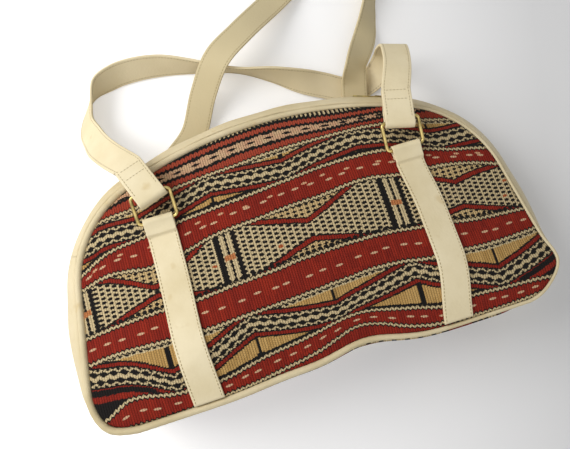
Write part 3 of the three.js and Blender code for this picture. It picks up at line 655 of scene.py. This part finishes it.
CLOTH = 3.0
MIDDLE = np.array([0.0, HEIGHT * 0.48])
INNER = O[:, :2] - O[:, 2:4] * (PIPING_RADIUS + 0.3)
FRONT_INNER = O[:, :2] - O[:, 2:4] * (FRONT_RADIUS + 0.3)[:, None]
_ray = INNER - MIDDLE
_turn = np.arctan2(_ray[:, 0], -_ray[:, 1]) % (2 * np.pi)
_order = np.argsort(_turn)
RIM_TURN, RIM_REACH = _turn[_order], np.linalg.norm(_ray, axis=1)[_order]


def outwardness(x, y):
    """Distance from the panel's middle over the distance to its edge on the same ray."""
    dx, dy = x - MIDDLE[0], y - MIDDLE[1]
    rim = np.interp(np.arctan2(dx, -dy) % (2 * np.pi), RIM_TURN, RIM_REACH, period=2 * np.pi)
    return np.hypot(dx, dy) / rim


def crown(y, share):
    """Height of the front cloth: the seam's, plus a swell of 18 * (1 - share^2.2), share 1 at the seam."""
    return front_rim(y) + 1.5 + 18 * (1 - share ** 2.2)


def front_face(x, y):
    """Height of the front cloth without its folds, at any point of the panel."""
    return crown(y, np.clip(outwardness(x, y), 0, 1))


def panel(name, edge, height, slip, node, thickness):
    """Rings from the middle to the edge, on the outer face and then back under it."""
    share = np.linspace(0, 1, 84)[1:] ** 0.9
    at = MIDDLE + share[:, None, None] * (edge - MIDDLE)
    x, y = at[..., 0], at[..., 1]
    ring = share[:, None] + 0 * x
    across = x + (corner_pull(x, y) if thickness < 0 else 0)
    top = np.stack([across, slip(x, y), height(x, y, ring)], -1)
    under = top + [0, 0, thickness]
    rows = np.concatenate([top, under[::-1]])
    count = rows.shape[1]
    pole = np.array([MIDDLE[0], slip(*MIDDLE[:, None])[0], height(*MIDDLE[:, None], np.zeros(1))[0]])
    points = np.vstack([rows.reshape(-1, 3), pole, pole + [0, 0, thickness]])
    faces = grid_faces(len(rows), count).tolist()
    last = (len(rows) - 1) * count
    j = np.arange(count)
    faces += np.stack([0 * j + len(points) - 2, (j + 1) % count, j], 1).tolist()
    faces += np.stack([0 * j + len(points) - 1, last + j, last + (j + 1) % count], 1).tolist()
    flat = np.concatenate([at, at[::-1]]).reshape(-1, 2)
    uv = np.vstack([flat, MIDDLE, MIDDLE]) / 1000
    return add_piece(name, points, faces, KILIM, "bag", uv, slot="kilim", replaces=[node])


def slack(x, y, share):
    """Low folds in the cloth: two crossed sine waves, still at the rim and under the tabs."""
    calm = (1 - share ** 4) * smooth(np.abs(np.abs(x) - 109.5), 14, 30)
    return calm * (0.9 * np.sin(x * 0.045 + y * 0.02) + 0.6 * np.sin(y * 0.07 - x * 0.018 + 1))


panel("front_panel_cloth", FRONT_INNER, lambda x, y, share: crown(y, share) + slack(x, y, share),
      lambda x, y: y + bottom_wave(x, y), "front_panel", -CLOTH)
panel("back_panel_cloth", INNER, lambda x, y, share: back_rim(y) - 0.1 + 0 * share,
      lambda x, y: y - setback(y), "back_panel", CLOTH)
piping("front_piping_leather", front_edge, "front_piping", FRONT_RADIUS)
piping("back_piping_leather", back_edge, "back_piping", PIPING_RADIUS + 0 * FRONT_RADIUS)

first_bend = int(np.argmax(O[:, 4] > 0))
half_count = len(O) // 2 + 1
seam_at = int(np.argmax(O[:half_count, 1] >= SEAM_Y))
right_side = np.arange(first_bend - 1, seam_at + 1)
left_side = (-right_side) % len(O)
for side, rows in (("right", right_side), ("left", left_side)):
    wall(f"side_gusset_{side}_leather", O[rows], FRONT_SEAM[rows], 1 - SEAM[rows], 1.2, -1.2, HIDE,
         slot="leather", replaces=[f"side_gusset_{side}"])
over = np.arange(seam_at, len(O) - seam_at + 1)
slot_half = 0.15 + 5.35 * (1 - smooth(np.abs(O[over, 5]), ZIP_ANGLE, ZIP_ANGLE + 0.02))
for side, sign, seam in (("front", 1, FRONT_SEAM), ("back", -1, SEAM)):
    wall(f"zip_gusset_{side}_leather", O[over], 0.5 - sign * (0.5 - seam[over]),
         0.5 - sign * slot_half / DEPTH[over], 1.2, -1.2, HIDE, steps=10, slot="leather",
         replaces=[f"zip_gusset_{side}"])
    taped = over[O[over, 4] == 2]
    hem, teeth = (0.5 - sign * away / DEPTH[taped] for away in (9.5, 2.6))
    wall(f"zip_tape_{side}_cloth", O[taped], hem, teeth, -1.7, -2.7, TAPE, steps=5, slot="zip_cloth",
         replaces=[f"zip_tape_{side}"])

# Base: a flat board between the two base seams, bowed with the slack front seam
base = np.concatenate([O[left_side[0]:], O[:right_side[0] + 1]])
board = (0.7 + 2.7 * smooth(CORNER[0] - np.abs(base[:, 0]), -2, 26))[:, None, None]
seam = SEAM[0] + 0 * base[:, 0]
wall("base_cloth", base, seam, 1 - seam, board, 0.0, KILIM, steps=8, slot="kilim", replaces=["base_panel"])

# ---- Wire rings ----

NEAR_Y, RING_LENGTH, TAB_X, WIDTH = 156.0, 24.0, 109.5, 25.4
SKEW, TILT, PITCH = math.radians(15), math.radians(14.5), math.radians(18)
WIRE_RADIUS = 1.5
MAIN = 3.0  # from a ring's far bar to the middle of the strap that goes round it
RING_HALF = WIDTH / 2 * math.cos(SKEW) + 0.7 + WIRE_RADIUS \
    + (WIDTH / 2 * math.tan(SKEW) + MAIN + 1.2) * math.sin(SKEW)
FRONT_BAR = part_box("front_ring_left")[0][2] * 1000 - OFFSET[2] + WIRE_RADIUS
BACK_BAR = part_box("back_ring_left")[0][2] * 1000 - OFFSET[2] + WIRE_RADIUS


def ring(name, x, bar, tilt, body):
    """Wire along a rounded rectangle: four quarter arcs of radius 3, joined by straight runs."""
    turn = circle(48)
    quarter = np.floor(turn / (np.pi / 2)).astype(int)
    corner = 3
    reach, far = RING_HALF - corner, RING_LENGTH - corner
    centre = np.array([[reach, far, 0], [-reach, far, 0], [-reach, corner, 0], [reach, corner, 0]])[quarter]
    # 12 points of each arc share 11 steps, so that the last one stands at the end of the quarter
    angle = (turn - quarter * np.pi / 2) * (12 / 11) + quarter * np.pi / 2
    out = np.stack([np.cos(angle), np.sin(angle), 0 * turn], 1)
    path = centre + corner * out
    rounds = circle(14)[None, :, None]
    upward = np.array([0, 0, 1.0])
    tube = path[:, None] + WIRE_RADIUS * (np.cos(rounds) * out[:, None] + np.sin(rounds) * upward)
    lean = np.array([
        [1, 0, 0],
        [0, math.cos(tilt), math.sin(tilt)],
        [0, -math.sin(tilt), math.cos(tilt)],
    ])
    sections = tube @ lean + [x, NEAR_Y, bar]
    return swept(name, sections, BRASS, body, closed=True, slot="metal", replaces=[body])


for side, sign in (("left", -1), ("right", 1)):
    ring(f"front_ring_{side}_wire", sign * TAB_X, FRONT_BAR, TILT, f"front_ring_{side}")
    ring(f"back_ring_{side}_wire", sign * TAB_X, BACK_BAR, 0.0, f"back_ring_{side}")

# ---- Straps ----


def strap_profile(thickness):
    """A rounded slab seen end on: flat faces that dip 0.2 mm along the stitches, and round edges.
    Columns are the place across, the height and whether it is the inner face."""
    half, rise, corner = WIDTH / 2, thickness / 2, thickness * 0.35
    w = np.linspace(-half + corner, half - corner, 22)
    dip = rise - 0.2 * np.exp(-((np.abs(w) - (half - 2.4)) / 0.5) ** 2)
    bend = np.linspace(0, np.pi / 2, 4)[1:-1]
    edge = np.stack([half - corner + corner * np.cos(bend), rise - corner + corner * np.sin(bend)], 1)
    right = np.vstack([edge[::-1], edge * [1, -1]])
    top = np.column_stack([w, dip, 0 * w])
    side = np.column_stack([right, right[:, 1] < 0])
    under = np.column_stack([w[::-1], -dip, 0 * w + 1])
    return np.vstack([top, side, under, side[::-1] * [-1, 1, 1]])


def strap_uv(sections, profile):
    """u runs along the strap in metres, v half as fast across it, and v is 1 more on the inner face."""
    along = run_along(sections.mean(1))[:, None] / 1000
    return np.stack(np.broadcast_arrays(along, (profile[:, 0] / 2000 + profile[:, 2])[None]), -1)


def strap(name, middle, wide, thick, thickness, body, hide=STRAP, **more):
    """The profile carried along middle, with its width along wide and its height along thick."""
    profile = strap_profile(thickness)
    sections = middle + profile[None, :, :1] * wide + profile[None, :, 1:2] * thick
    return swept(name, sections, hide, body, uv=strap_uv(sections, profile), slot="leather", **more)


def stitches(name, path, normal, body, pitch=3.0, length=2.0, radius=0.32):
    """Short threads laid along a path: ellipsoids, each turned to the path and its face."""
    run = run_along(path)
    at = np.arange(pitch, run[-1] - pitch / 2, pitch)
    read = lambda rows, place: np.stack([np.interp(place, run, rows[:, k]) for k in range(3)], 1)
    spot, up = read(path, at), unit(read(normal, at))
    ahead = unit(read(path, at + 0.5) - spot + 1e-9)
    side = np.cross(up, ahead)
    round_, rows = circle(6), np.array([0.5, 0.95, 0.95, 0.5])
    span = np.array([-0.5, -0.22, 0.22, 0.5]) * length
    shape = np.stack([
        np.repeat(span, 6),
        (rows[:, None] * np.cos(round_)).ravel() * radius,
        (rows[:, None] * np.sin(round_)).ravel() * radius,
    ], 1)
    points = turned(shape, spot, ahead, side, up)
    one = grid_faces(4, 6).tolist() + [[5, 4, 3, 2, 1, 0], [18, 19, 20, 21, 22, 23]]
    faces = [[index + 24 * k for index in face] for k in range(len(at)) for face in one]
    return add_piece(name, points.reshape(-1, 3), faces, THREAD, body, slot="leather")


def sewn(name, middle, wide, thick, thickness, body, inset=2.4):
    """Rows of stitches along both edges of a strap's outer face."""
    for edge, sign in (("a", -1), ("b", 1)):
        path = middle + wide * sign * (WIDTH / 2 - inset) + thick * (thickness / 2 - 0.12)
        stitches(f"{name}_{edge}", path[:, 0], thick[:, 0], body)


TAB_THICKNESS, HANDLE_THICKNESS = 2.2, 2.4
LEG_ROWS = 14  # of a handle's end, from the ring's bar to the free run


def front_tab(side, sign):
    """Up the panel, a step over its own folded end, round the bar and back underneath."""
    inner = TAB_X - WIDTH / 2
    fold, t = 142.0, TAB_THICKNESS
    profile = strap_profile(t)
    loop_r = 1.8 + t / 2
    turn = np.linspace(-0.45, np.pi, 22)
    flat_y = np.r_[np.linspace(3.6, 134, 80), np.linspace(135, 142, 5), np.linspace(142.5, 146, 7), 149]
    under_y = np.linspace(151, 148, 5)
    y = np.r_[flat_y, 0 * turn, under_y]
    rise = np.r_[2.5 * smooth(flat_y, 142.6, 146), 0 * turn, 0 * under_y]
    # The right strap is sewn down in a slow curve, and the left one leans out a little
    if sign > 0:
        bend = 3.0 - 8.5 * smooth(60 - y, 0, 62) - 3.0 * smooth(y, 100, 145)
    else:
        bend = -2.2 * np.exp(-((y - 55) / 38) ** 2)
    bend = np.where(y > 0.5, bend, 0)[:, None]
    # 1 where the strap's outer face is up, and -1 where it has turned over
    upright = np.r_[np.ones(len(flat_y)), 0 * turn, -np.ones(len(under_y))]
    x = TAB_X + profile[:, 0]
    level = smooth(y, fold - 6, 156 - loop_r)[:, None]
    face = front_face(x[None] + 0 * y[:, None], y[:, None] + 0 * x[None])
    flat = face * (1 - level) + front_face(inner + 0 * face, y[:, None] + 0 * face) * level
    z = flat + 0.4 + t / 2 + rise[:, None]
    points = np.stack([
        sign * x[None] + bend + 0 * z,
        y[:, None] + bottom_wave(sign * x[None], y[:, None]) * 0.9,
        z + upright[:, None] * profile[None, :, 1],
    ], -1)
    rows = slice(len(flat_y), len(flat_y) + len(turn))
    normal = np.stack([0 * turn, np.sin(turn), np.cos(turn)], 1)
    centre = np.array([0, NEAR_Y, FRONT_BAR])
    points[rows] = centre + normal[:, None] * (loop_r + profile[None, :, 1:2])
    points[rows, :, 0] = sign * x[None]
    swept(f"front_tab_{side}_leather", points, STRAP, "bag", uv=strap_uv(points, profile), slot="leather",
          replaces=[f"front_tab_{side}"])
    for edge, w in (("a", 1), ("b", 20)):
        line = points[:len(flat_y) - 2, w]
        stitches(f"front_tab_{side}_stitches_{edge}", line, np.broadcast_to([0, 0, 1.0], line.shape), "bag")


def back_tab(side, sign):
    """Flat up the back panel, round the bar and back on top of itself."""
    t = TAB_THICKNESS
    loop_r = 1.8 + t / 2
    turn = np.linspace(0, np.pi + 0.45, 24)
    y0 = -setback(0.0) + 3.6
    flat_y, tail_y = np.linspace(y0, 151, 60), np.linspace(147, 142, 5)
    y = np.r_[flat_y, NEAR_Y + loop_r * np.sin(turn), tail_y]
    z = np.r_[0 * flat_y + 1.4, BACK_BAR - loop_r * np.cos(turn), 0 * tail_y + 3.9]
    ny = np.r_[0 * flat_y, np.sin(turn), 0 * tail_y]
    nz = np.r_[0 * flat_y - 1, -np.cos(turn), 0 * tail_y + 1]
    middle = np.stack([0 * y + sign * TAB_X, y, z], 1)[:, None]
    thick = np.stack([0 * y, ny, nz], 1)[:, None]
    wide = np.array([1.0, 0, 0]) + 0 * thick
    strap(f"back_tab_{side}_leather", middle, wide, thick, t, "bag", replaces=[f"back_tab_{side}"])
    n = len(flat_y)
    sewn(f"back_tab_{side}_stitches", middle[:n], wide[:n], thick[:n], t - 0.4, "bag")


for side, sign in (("left", -1), ("right", 1)):
    front_tab(side, sign)
    back_tab(side, sign)

# Handle routes: x, y, height of the lower edge, and the way that the width points
FRONT_ROUTE = [
    (-136, 224, 63, .88, .42, 0), (-145, 237, 48, .85, .45, .15), (-152, 252, 27, .8, .45, .35),
    (-157, 269, 11, .7, .5, .5), (-152, 287, 3, .62, .5, .6), (-139, 304, 1, .5, .58, .64),
    (-120, 312, .6, .33, .62, .7), (-98, 313, .6, .15, .62, .77), (-72, 309, .6, 0, .5, .86),
    (-45, 300, .6, -.05, .2, .97), (-20, 290.5, .6, -.07, -.1, .98), (2, 282, .6, -.08, -.1, .98),
    (28, 271, .6, -.05, .3, .95), (54, 258, .6, 0, .75, .66), (75, 249, .6, .1, .95, .28),
    (95, 240, .8, .15, .98, .06), (113, 239, .8, 0, .99, .05), (128, 244, 5, -.3, .95, 0),
    (137, 252, 20, -.7, .7, 0), (137, 255, 38, -.92, .38, 0), (137, 254, 52, -.96, .28, 0),
    (134, 246, 62, -.95, .3, 0), (128, 230, 71, -.95, .28, .05)]
BACK_ROUTE = [
    (-83, 222, .2, .85, -.5, 0), (-63.5, 238, 2, .87, -.49, 0), (-43, 270, 15, .87, -.48, .05),
    (-21.5, 294, 31, .78, -.6, .05), (8, 314, 27, .6, -.78, .15), (50, 343, 10, .5, -.85, .1),
    (84, 366, 1.5, .42, -.9, .1), (115, 384, .3, .35, -.9, .3), (143, 391, .3, -.05, -.75, .65),
    (162, 383, .3, -.5, -.45, .74), (167, 365, .3, -.6, -.2, .78), (160, 346, .3, -.55, -.1, .83),
    (147, 323, .3, -.6, -.05, .8), (138, 303, 2, -.75, .1, .65), (128, 283, 5, -.88, .3, .36),
    (108.5, 256, 11, -.8, .3, .5), (103.5, 239, 8, -.94, .33, 0), (101, 223, 4, -.95, .3, 0)]


def through(points, per, even):
    """A smooth line through points, by Hermite cubics. Its slopes are half the step between the
    neighbours, or, where not even, those of the centripetal curve, with root-distance knots."""
    p = np.vstack([2 * points[0] - points[1], points, 2 * points[-1] - points[-2]])
    a, b, c, d = p[:-3], p[1:-2], p[2:-1], p[3:]
    if even:
        start, end = (c - a) / 2, (d - b) / 2
    else:
        spans = (b - a, c - b, d - c)
        ka, kb, kc = (np.linalg.norm(span, axis=1, keepdims=True) ** 0.5 for span in spans)
        start = ((b - a) / ka - (c - a) / (ka + kb) + (c - b) / kb) * kb
        end = ((c - b) / kb - (d - b) / (kb + kc) + (d - c) / kc) * kb
    t = (np.arange(per) / per)[None, :, None]
    b, c, start, end = (q[:, None] for q in (b, c, start, end))
    made = b * (2 * t ** 3 - 3 * t ** 2 + 1) + c * (3 * t ** 2 - 2 * t ** 3) \
        + start * (t ** 3 - 2 * t ** 2 + t) + end * (t ** 3 - t ** 2)
    return np.vstack([made.reshape(-1, 3), points[-1:]])


def handle(name, bar, pitch, face, route):
    """Tail, pocket and leg at the left ring, the free route, and the same at the right ring.
    face is 1 on the front of the bag and -1 on its back."""
    t = HANDLE_THICKNESS
    plane = np.array([0, math.cos(pitch), -math.sin(pitch)])
    outside = np.array([0, math.sin(pitch), math.cos(pitch)]) * face

    def end(sign, skew=SKEW, fold_at=-WIDTH / 2 * math.tan(SKEW), aside=0.0):
        onward = plane * math.cos(skew) + np.array([sign * face * math.sin(skew), 0, 0])
        across = unit(np.cross(onward, outside))
        place = lambda a, h: np.array([sign * TAB_X + aside, *bar]) + onward * a + outside * h
        slope = ((15, -0.5), (13, -1.6), (11, -2.6), (9, -MAIN), (2, -MAIN))
        sides = [(a, MAIN - 2.7) for a in np.linspace(30, 17, 9)] + list(slope)
        tail = [(place(a, height), -outside) for a, height in sides]
        turn = np.linspace(0, np.pi, 16)[:, None]
        thick = -outside * np.cos(turn) - onward * np.sin(turn)
        fold = [(place(fold_at, 0) + d * MAIN, d) for d in thick]
        leg = [(place(a, MAIN), outside) for a in np.linspace(0, 30, LEG_ROWS)]
        at, thick = (np.array(v) for v in zip(*(tail + fold + leg)))
        return at, thick, np.broadcast_to(across, at.shape)

    # The front handle's left end is pulled aside, so its fold crosses the ring at a slant
    slant = {"skew": math.radians(21), "fold_at": -5.8, "aside": -0.9} if face > 0 else {}
    (la, lt, lw), (ra, rt, rw) = end(-1, **slant), end(1)
    ra, rt, rw = ra[::-1], rt[::-1], -rw[::-1]
    r = np.array(route, float)
    wide = unit(r[:, 3:]) * face
    level = np.hypot(wide[:, 0], wide[:, 1])
    lift = r[:, 2] + (np.abs(wide[:, 2]) * WIDTH + level * t) / 2
    points = np.vstack([la[-1], np.column_stack([r[:, :2], lift]), ra[0]])
    line = through(points, 12, False)[1:-1]
    way = through(np.vstack([lw[-1], wide, rw[0]]), 12, True)[1:-1]
    ahead = unit(np.gradient(line, axis=0))
    way = unit(way - ahead * (way * ahead).sum(1, keepdims=True))
    thick = unit(np.cross(way, ahead))
    low = line[:, 2] - (np.abs(way[:, 2]) * WIDTH + np.abs(thick[:, 2]) * t) / 2
    line[:, 2] += np.maximum(0, 0.3 - low)
    middle, wide, thick = (np.vstack(v)[:, None] for v in ((la, line, ra), (lw, way, rw), (lt, thick, rt)))
    strap(f"{name}_leather", middle, wide, thick, t, name, STRAP if face > 0 else WORN, replaces=[name])
    keep = slice(len(la) - LEG_ROWS, len(middle) - len(ra) + LEG_ROWS)
    sewn(f"{name}_stitches_outer", middle[keep], wide[keep], thick[keep], t, name)
    sewn(f"{name}_stitches_inner", middle[keep], wide[keep], -thick[keep], t, name)
    for which, rows, sign in (("left", len(la) - 1, 1), ("right", len(middle) - len(ra), -1)):
        for row, back in (("near", 5), ("far", 1)):
            at = rows - sign * back
            span = np.linspace(-10, 10, 12)[:, None]
            path = middle[at] + wide[at] * span + thick[at] * (t / 2 - 0.05)
            stitches(f"{name}_stitches_{which}_{row}", path, np.broadcast_to(thick[at], path.shape), name)


FAR_FRONT = (NEAR_Y + RING_LENGTH * math.cos(TILT), FRONT_BAR + RING_LENGTH * math.sin(TILT))
handle("front_handle", FAR_FRONT, PITCH, 1, FRONT_ROUTE)
handle("back_handle", (NEAR_Y + RING_LENGTH, BACK_BAR), 0.0, -1, BACK_ROUTE)

# ---- Zip teeth: rounded blocks in two rows, on the tape's edge ----


def zip_place(angle):
    """Middle of the zip at an angle of the top arc, with the ways along, across and out of it."""
    out_x, out_y = np.sin(angle), np.cos(angle)
    s = np.column_stack([TOP_R * out_x, TOP_Y + TOP_R * out_y, out_x, out_y, 0 * angle + 2, angle])
    mid = gusset(s, np.full((len(angle), 1), 0.5))[:, 0]
    step = gusset(s, np.tile([0.51, 0.49], (len(angle), 1)))
    along = np.stack([out_y, -out_x, 0 * angle], 1)
    out = unit(np.cross(along, step[:, 1] - step[:, 0]))
    out *= np.sign(out[:, 1:2])
    return mid, along, np.cross(out, along), out


def tooth():
    """A block with its edges and corners cut off: 24 points, and the faces in their order from outside.
    Each face holds the points that reach furthest one way, along an axis, an edge's way or a corner's."""
    steps = (-1, -0.6, 0.6, 1)
    spots = np.array([p for p in itertools.product(steps, repeat=3) if sum(abs(v) == 1 for v in p) == 1])
    faces = []
    for way in itertools.product((-1.0, 0.0, 1.0), repeat=3):
        if any(way):
            reach = spots @ way
            found = np.flatnonzero(reach > reach.max() - 0.01)
            across = unit(np.cross(way, (0.3, 0.5, 0.8)))
            up = np.cross(unit(np.array(way)), across)
            local = spots[found] - spots[found].mean(0)
            faces.append(found[np.argsort(np.arctan2(local @ up, local @ across))].tolist())
    return spots, faces


ZIP_R, TOOTH_PITCH = 372.0, 5.0
TOOTH_END = ZIP_ANGLE - 4 / ZIP_R
count = int(2 * TOOTH_END // (TOOTH_PITCH / ZIP_R))
spots, one = tooth()
for side, sign in (("front", 1), ("back", -1)):
    angle = np.linspace(-TOOTH_END, TOOTH_END, count * 4 + 1)[2 + sign::4]
    mid, along, across, out = zip_place(angle)
    shape = spots * [1.25, 1.4, 1.0] + [0, -sign * 2.2, -2.2]
    points = turned(shape, mid, along, across, out)
    faces = [[index + len(spots) * k for index in face] for k in range(len(angle)) for face in one]
    add_piece(f"zip_teeth_{side}", points.reshape(-1, 3), faces, BRASS, "bag", slot="metal")

for node in ("zip_slider", "zip_pull", "zip_end_stop", "zip_top_stop_front", "zip_top_stop_back"):
    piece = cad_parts[node]
    piece.data.materials.clear()
    piece.data.materials.append(BRASS)

# ---- Table, light and camera ----

# The table pales to pure white on the camera's left through a painted glow, and its colour greys towards
# the right as painted shade
table = Finish("table_painted_glow", 0.7, specular=0.1)
tx, ty, _ = table.split(table.place())
painted_dimming = ((tx + 0.12 - ty * 0.25) * 2.4).held()
table.colour(table.mix(painted_dimming, (0.9, 0.89, 0.88, 1), (0.86, 0.85, 0.84, 1)))
view = table.out(table.node("ShaderNodeLightPath"), "Is Camera Ray")
# Painted light: a glow on the table's left that only the camera sees, fading towards the right
table.tree.links.new((view * (1.0 - painted_dimming) * 0.35).socket, table.shader.inputs["Emission Strength"])
table.shader.inputs["Emission Color"].default_value = (1, 1, 1, 1)
TABLE_HALF = 3
mesh = bpy.data.meshes.new("table")
mesh.from_pydata([(x * TABLE_HALF, y * TABLE_HALF, 0) for x, y in ((-1, -1), (1, -1), (1, 1), (-1, 1))],
                 [], [(0, 1, 2, 3)])
mesh.materials.append(table.material)
floor = bpy.data.objects.new("table", mesh)
bpy.context.scene.collection.objects.link(floor)

world = bpy.data.worlds.new("studio")
world.use_nodes = True
bpy.context.scene.world = world
tree, nodes, links = world.node_tree, world.node_tree.nodes, world.node_tree.links
# The world lights the bag softly, and shows plain white to the camera and in reflections
soft = nodes["Background"]
soft.inputs["Color"].default_value = (0.95, 0.97, 1.0, 1)
soft.inputs["Strength"].default_value = 0.38
white = nodes.new("ShaderNodeBackground")
white.inputs["Color"].default_value = (1, 1, 1, 1)
rays = nodes.new("ShaderNodeLightPath")
seen = Wire(tree, rays.outputs["Is Camera Ray"])
for kind in ("Is Glossy Ray", "Is Transmission Ray"):
    seen = seen.high(Wire(tree, rays.outputs[kind]))
either = nodes.new("ShaderNodeMixShader")
links.new(seen.socket, either.inputs[0])
links.new(soft.outputs[0], either.inputs[1])
links.new(white.outputs[0], either.inputs[2])
links.new(either.outputs[0], nodes["World Output"].inputs["Surface"])


def lamp(name, at, aim, size, power):
    """A square lamp at a place, turned to its aim. Lamps shine along their own -Z."""
    light = bpy.data.lights.new(name, "AREA")
    light.size, light.energy = size, power
    piece = bpy.data.objects.new(name, light)
    back = unit(np.array(at, float) - np.array(aim, float))
    right = unit(np.cross([0, 1, 0.01], back))
    turn = np.column_stack([right, np.cross(back, right), back])
    piece.matrix_world = Matrix.Translation(at) @ Matrix(turn.tolist()).to_4x4()
    bpy.context.scene.collection.objects.link(piece)


lamp("key", (-0.75, 0.42, 0.72), (-0.1, 0, 0), 0.7, 9.2)
lamp("fill", (-0.35, -0.9, 1.2), (0, 0, 0), 1.4, 4.6)

# Where the photograph was taken from, in bag millimetres, and that camera's right, up and back
CAMERA_AT = [-47.9, 96.9, 527.6]
CAMERA_AXES = [[0.9536, -0.2941, 0.0640], [0.2890, 0.9541, 0.0782], [-0.0841, -0.0561, 0.9949]]
CAMERA_LENS, CAMERA_SENSOR = 33.83, 36

camera_data = bpy.data.cameras.new("camera")
camera_data.sensor_width = CAMERA_SENSOR
camera_data.lens = CAMERA_LENS
camera_data.clip_start = 0.01
camera = bpy.data.objects.new("camera", camera_data)
where = Matrix(CAMERA_AXES).transposed().to_4x4()
where.translation = placed(CAMERA_AT).tolist()
camera.matrix_world = where
bpy.context.scene.collection.objects.link(camera)
bpy.context.scene.camera = camera
bpy.context.scene.view_settings.view_transform = "Standard"
